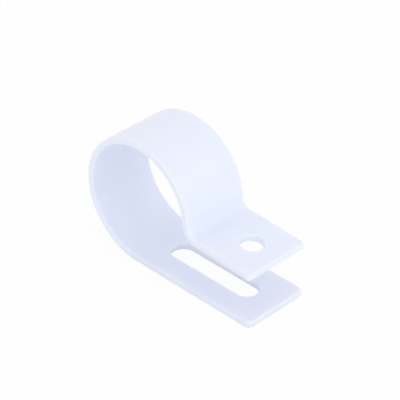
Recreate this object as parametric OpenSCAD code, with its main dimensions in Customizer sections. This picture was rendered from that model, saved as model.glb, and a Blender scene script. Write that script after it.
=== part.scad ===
// P clip: one moulded nylon strap that loops round a cable bundle and ends in two screw flanges.
// Frame: the origin is on the cable's axis at mid width, the cable runs along X,
// the flanges point to -Y and the lower one lies flat on the panel, which faces +Z.
// All sizes are in millimetres and degrees, for the clip as moulded, before it is closed by its screw.

/* [Strap] */
// Width of the strap, along the cable
strap_w = 12.7; // [9:0.1:20]
// Wall thickness of the strap
strap_t = 1.2; // [0.8:0.05:2]
// Rounding of the strap's long edges and ends
edge_r = 0.3; // [0.1:0.05:0.6]

/* [Loop] */
// Inside diameter of the open loop
loop_d = 20.2; // [8:0.1:40]
// Angle that the loop turns through, from the lower flange to the bend
loop_sweep = 266; // [235:1:300]
// Inner radius of the bend between the loop and the upper flange
bend_r = 1.5; // [0.6:0.1:4]

/* [Flanges] */
// How far the lower flange reaches past the front of the loop
flange_reach = 13.5; // [10:0.1:30]
// How much shorter the upper flange is than the lower one
upper_setback = 0.4; // [0:0.1:2]
// Angle that the upper flange slopes down towards its end
droop = 3.03; // [0:0.01:6]
// Corner radius of the lower flange's end, seen from above
lower_corner_r = 1; // [0.5:0.1:4]
// Corner radius of the upper flange's end, seen from above
upper_corner_r = 0.5; // [0.5:0.1:4]

/* [Screw hole and slot] */
// Diameter of the screw hole in the upper flange
hole_d = 3.9; // [2.5:0.1:6]
// Distance from the hole's centre to the end of the upper flange
hole_margin = 5.4; // [4:0.1:8]
// Width of the slot in the lower flange
slot_w = 4.2; // [3:0.1:7]
// Distance from the slot to the end of the lower flange
slot_margin = 4.4; // [2:0.1:8]
// Distance from the slot to the line where the loop starts
slot_inset = 2.4; // [0.5:0.1:8]
// Rounding of the rims of the hole and the slot
rim_r = 0.2; // [0.05:0.05:0.4]

/* [Hidden] */

$fn = 96;
nylon = [0.91, 0.94, 0.99];
// share of the wall that one rounded edge may take
edge_limit = 0.45;
// how far a cutter stands out of the wall that it cuts
cutter_reach = 1;
// least difference between a corner's radius and the edge rounding that runs round it
corner_step = 0.1;
place_step = 0.01;

edge = min(edge_r, edge_limit * strap_t);
rim = min(rim_r, edge_limit * strap_t);
lower_corner = max(lower_corner_r, edge + corner_step);
upper_corner = max(upper_corner_r, edge + corner_step);

// radii of the loop's outer face and of the middle of its wall
loop_outer = loop_d / 2 + strap_t;
loop_mid = loop_d / 2 + strap_t / 2;

// the bend turns the strap from the loop's last heading to the upper flange's slope
bend_mid = bend_r + strap_t / 2;
bend_sweep = loop_sweep - 180 - droop;
bend_centre = (loop_outer + bend_r) * [0, sin(loop_sweep), -cos(loop_sweep)];
// middle of the wall where the bend runs into the upper flange
upper_start = bend_centre + bend_mid * [0, sin(droop), -cos(droop)];

lower_length = loop_outer + flange_reach;
upper_length = (lower_length - upper_setback + upper_start.y) / cos(droop);
slot_length = lower_length - slot_inset - slot_margin;

// Rectangle with its right-hand corners rounded by r, from x = 0 to x = length, centred on y
module half_section(length, height, r) {
    translate([0, -height / 2]) square([length - r, height]);
    translate([0, r - height / 2]) square([length, height - 2 * r]);
    // only the outer quarter of each circle, so that nothing lies across x = 0
    for (side = [0, 1]) mirror([0, side]) translate([length - r, height / 2 - r]) intersection() {
        circle(r);
        square(r);
    }
}

// The strap's own section, wall thickness along x and width along y
module strap_section() {
    for (side = [0, 180]) rotate(side + 90) half_section(strap_w / 2, strap_t, edge);
}

// A stretch of strap bent round the X axis, whose wall's middle lies at this radius.
// Angles count from straight under the axis towards +Y.
module strap_arc(radius, start, sweep) {
    rotate([0, 90, 0]) rotate_extrude(angle = sweep, start = start)
        translate([radius, 0]) strap_section();
}

// Moves by a round step and then by its remainder, so that a long decimal keeps its digits
// and the ends of the strap's stretches meet face to face
module place(point) {
    step = [for (value = point) round(value / place_step) * place_step];
    translate(step) translate(point - step) children();
}

// A straight stretch of strap along +Y, centred on the wall's middle, whose free end has
// corners of this radius
module flange(length, corner) {
    corner_x = strap_w / 2 - corner;
    rotate([-90, 0, 0]) linear_extrude(length - corner) rotate(90) strap_section();
    translate([-corner_x, length - corner, 0]) rotate([90, 0, 90])
        linear_extrude(2 * corner_x) half_section(corner, strap_t, edge);
    for (side = [0, 1]) mirror([side, 0, 0]) translate([corner_x, length - corner, 0])
        rotate_extrude(angle = 90) half_section(corner, strap_t, edge);
}

// Outline of half a hole through the wall: x is the distance from the hole's middle,
// and both rims open outwards along a quarter circle
module rim_section(radius) {
    height = strap_t + 2 * cutter_reach;
    wall = strap_t - 2 * rim;
    difference() {
        translate([0, -height / 2]) square([radius + rim, height]);
        translate([radius, -wall / 2]) square([2 * rim, wall]);
        for (side = [-1, 1]) translate([radius + rim, side * wall / 2]) circle(rim);
    }
}

module hole_cutter() {
    rotate_extrude() rim_section(hole_d / 2);
}

// A slot that runs along +Y from y = 0, centred on the wall's middle
module slot_cutter(length) {
    straight = length - slot_w;
    translate([0, slot_w / 2, 0]) {
        rotate_extrude(angle = 180, start = 180) rim_section(slot_w / 2);
        translate([0, straight, 0]) rotate_extrude(angle = 180) rim_section(slot_w / 2);
        for (side = [0, 1]) mirror([side, 0, 0]) translate([0, straight, 0]) rotate([90, 0, 0])
            linear_extrude(straight) rim_section(slot_w / 2);
    }
}

module lower_flange() {
    translate([0, 0, -loop_mid]) rotate(180) difference() {
        flange(lower_length, lower_corner);
        translate([0, slot_inset, 0]) slot_cutter(slot_length);
    }
}

module upper_flange() {
    place(upper_start) rotate([-droop, 0, 180]) difference() {
        flange(upper_length, upper_corner);
        translate([0, upper_length - hole_margin, 0]) hole_cutter();
    }
}

module p_clip() {
    color(nylon) {
        lower_flange();
        strap_arc(loop_mid, 0, loop_sweep);
        place(bend_centre) strap_arc(bend_mid, droop, bend_sweep);
        upper_flange();
    }
}

p_clip();
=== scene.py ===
from math import cos, radians, sin
import bpy
from mathutils import Matrix, Vector


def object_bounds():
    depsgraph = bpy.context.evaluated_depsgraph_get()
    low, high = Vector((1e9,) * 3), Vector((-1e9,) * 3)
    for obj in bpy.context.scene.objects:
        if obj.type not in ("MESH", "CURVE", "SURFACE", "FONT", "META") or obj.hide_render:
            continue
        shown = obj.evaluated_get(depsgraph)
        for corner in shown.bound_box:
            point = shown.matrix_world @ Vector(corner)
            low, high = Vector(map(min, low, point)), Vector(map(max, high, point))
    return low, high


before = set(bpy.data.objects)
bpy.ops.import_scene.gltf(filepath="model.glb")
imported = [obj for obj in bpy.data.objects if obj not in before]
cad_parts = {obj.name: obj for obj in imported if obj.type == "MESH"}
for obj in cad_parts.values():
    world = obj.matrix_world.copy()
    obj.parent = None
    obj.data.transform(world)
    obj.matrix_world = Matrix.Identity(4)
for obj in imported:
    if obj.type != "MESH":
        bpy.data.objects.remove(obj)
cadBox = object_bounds()
lowCorner, highCorner = cadBox
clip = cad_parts["p_clip"]
mm = 0.001
print("frame loaded")


class Number:
    # a number socket that can be used in sums, so that shader maths reads as maths

    def __init__(self, graph, socket):
        self.graph = graph
        self.socket = socket

    def maths(self, operation, left, right):
        return self.graph.number("Math", {"operation": operation}, {0: left, 1: right})

    def __add__(self, other):
        return self.maths("ADD", self, other)

    def __sub__(self, other):
        return self.maths("SUBTRACT", self, other)

    def __mul__(self, other):
        return self.maths("MULTIPLY", self, other)

    def __rsub__(self, other):
        return self.maths("SUBTRACT", other, self)

    __radd__ = __add__
    __rmul__ = __mul__


class Graph:
    # the node tree of one material or world, emptied first

    def __init__(self, owner):
        owner.use_nodes = True
        self.tree = owner.node_tree
        self.tree.nodes.clear()

    def node(self, kind, settings, sockets):
        made = self.tree.nodes.new("ShaderNode" + kind)
        for name, value in settings.items():
            setattr(made, name, value)
        for name, value in sockets.items():
            self.feed(made.inputs[name], value)
        return made

    def feed(self, target, value):
        if isinstance(value, Number):
            value = value.socket
        if isinstance(value, bpy.types.NodeSocket):
            self.tree.links.new(value, target)
        else:
            target.default_value = value

    def number(self, kind, settings, sockets, output=0):
        return Number(self, self.node(kind, settings, sockets).outputs[output])


# natural nylon: milky, a little cloudy, satin, and light seeps a short way into it
nylonLook = {
    "deepColour": (0.79, 0.828, 0.985, 1),
    "paleColour": (0.825, 0.86, 0.995, 1),
    "cloudSize": 5 * mm,
    "cloudDetail": 3,
    "grainSize": 0.35 * mm,
    "grainDetail": 2,
    "roughness": 0.42,
    "roughnessSwing": 0.10,
    "grainHeight": 0.004 * mm,
    "scatterShare": 0.5,
    "scatterDepth": 0.9 * mm,
    "scatterColour": (1.0, 1.05, 1.2),
    "refraction": 1.53,
}


def makeNylon(look):
    nylon = bpy.data.materials.new("naturalNylon")
    g = Graph(nylon)
    place = g.node("TexCoord", {}, {}).outputs["Object"]
    cloud, grain = [
        g.number("TexNoise", {}, {
            "Vector": place,
            "Scale": 1 / look[kind + "Size"],
            "Detail": look[kind + "Detail"],
        })
        for kind in ("cloud", "grain")
    ]
    # sockets 0, 6 and 7 are the factor and the two colours
    blend = g.node("Mix", {"data_type": "RGBA"}, {0: cloud, 6: look["deepColour"], 7: look["paleColour"]})
    bump = g.node("Bump", {}, {"Height": grain, "Distance": look["grainHeight"]})
    shader = g.node("BsdfPrincipled", {}, {
        "Base Color": blend.outputs[2],
        "Roughness": look["roughness"] + look["roughnessSwing"] * (cloud - 0.5),
        "Normal": bump.outputs["Normal"],
        "Subsurface Weight": look["scatterShare"],
        "Subsurface Radius": look["scatterColour"],
        "Subsurface Scale": look["scatterDepth"],
        "IOR": look["refraction"],
    })
    g.node("OutputMaterial", {}, {"Surface": shader.outputs["BSDF"]})
    return nylon


clip.data.materials.clear()
clip.data.materials.append(makeNylon(nylonLook))
print("nylon done")

# white sweep under the clip and an even white sky, as in a light tent
studio = {
    "floorSize": 1.2,
    "floorGap": 0.01 * mm,
    "floorColour": (0.97, 0.97, 0.97, 1),
    "whiteShare": 0.9,
    "worldLight": 0.95,
}


def seenRays(g):
    # 1 for rays that show a thing directly, mirrored or through something clear
    rays = g.node("LightPath", {}, {}).outputs
    kinds = ["Is Camera Ray", "Is Glossy Ray", "Is Transmission Ray"]
    return sum(Number(g, rays[kind]) for kind in kinds)


def makeFloor(look):
    half = look["floorSize"] / 2
    mesh = bpy.data.meshes.new("floor")
    corners = [(-half, -half, 0), (half, -half, 0), (half, half, 0), (-half, half, 0)]
    mesh.from_pydata(corners, [], [(0, 1, 2, 3)])
    floor = bpy.data.objects.new("floor", mesh)
    floor.location.z = lowCorner.z - look["floorGap"]
    bpy.context.scene.collection.objects.link(floor)
    paint = bpy.data.materials.new("whiteFloor")
    g = Graph(paint)
    seen = seenRays(g)
    matt = g.node("BsdfDiffuse", {}, {"Color": look["floorColour"]})
    white = g.node("Emission", {}, {"Color": (1, 1, 1, 1), "Strength": 1.0})
    both = g.node("MixShader", {}, {
        0: seen * look["whiteShare"],
        1: matt.outputs["BSDF"],
        2: white.outputs["Emission"],
    })
    g.node("OutputMaterial", {}, {"Surface": both.outputs["Shader"]})
    mesh.materials.append(paint)


def makeWorld(look):
    world = bpy.data.worlds.new("studio")
    bpy.context.scene.world = world
    g = Graph(world)
    seen = seenRays(g)
    strength = look["worldLight"] + (1 - look["worldLight"]) * seen
    sky = g.node("Background", {}, {"Color": (1, 1, 1, 1), "Strength": strength})
    g.node("OutputWorld", {}, {"Surface": sky.outputs["Background"]})


makeFloor(studio)
makeWorld(studio)

lamps = {
    "frontLamp": {"azimuth": 0, "elevation": 15, "distance": 0.45, "size": 0.30, "watts": 0.22},
    "leftLamp": {"azimuth": -90, "elevation": 12, "distance": 0.45, "size": 0.30, "watts": 0.03},
}


def wayTo(azimuth, elevation):
    # direction from the clip outwards; azimuth 0 is in front of the flanges
    a, e = radians(azimuth), radians(elevation)
    return Vector((sin(a) * cos(e), -cos(a) * cos(e), sin(e)))


def makeLamp(name, look, target):
    light = bpy.data.lights.new(name, "AREA")
    light.shape = "SQUARE"
    light.size = look["size"]
    light.energy = look["watts"]
    lamp = bpy.data.objects.new(name, light)
    way = wayTo(look["azimuth"], look["elevation"])
    lamp.location = target + way * look["distance"]
    lamp.rotation_euler = way.to_track_quat("Z", "Y").to_euler()
    bpy.context.scene.collection.objects.link(lamp)


middle = (lowCorner + highCorner) / 2
for name, look in lamps.items():
    makeLamp(name, look, middle)
print("studio done")

cameraLook = {
    "azimuth": -46.78,
    "elevation": 34.6,
    "roll": 1.55,
    "distance": 0.3065,
    "lens": 174.2,
    "nearest": 10 * mm,
    "aim": (1.23 * mm, -6.6 * mm, 0.39 * mm),
}


def makeCamera(look):
    data = bpy.data.cameras.new("camera")
    data.lens = look["lens"]
    data.clip_start = look["nearest"]
    camera = bpy.data.objects.new("camera", data)
    back = wayTo(look["azimuth"], look["elevation"])
    level = back.to_track_quat("Z", "Y").to_matrix()
    turn = Matrix.Rotation(radians(look["roll"]), 3, "Z")
    camera.rotation_euler = (level @ turn).to_euler()
    camera.location = Vector(look["aim"]) + back * look["distance"]
    bpy.context.scene.collection.objects.link(camera)
    bpy.context.scene.camera = camera


makeCamera(cameraLook)
bpy.context.scene.view_settings.view_transform = "Standard"
print("camera done")
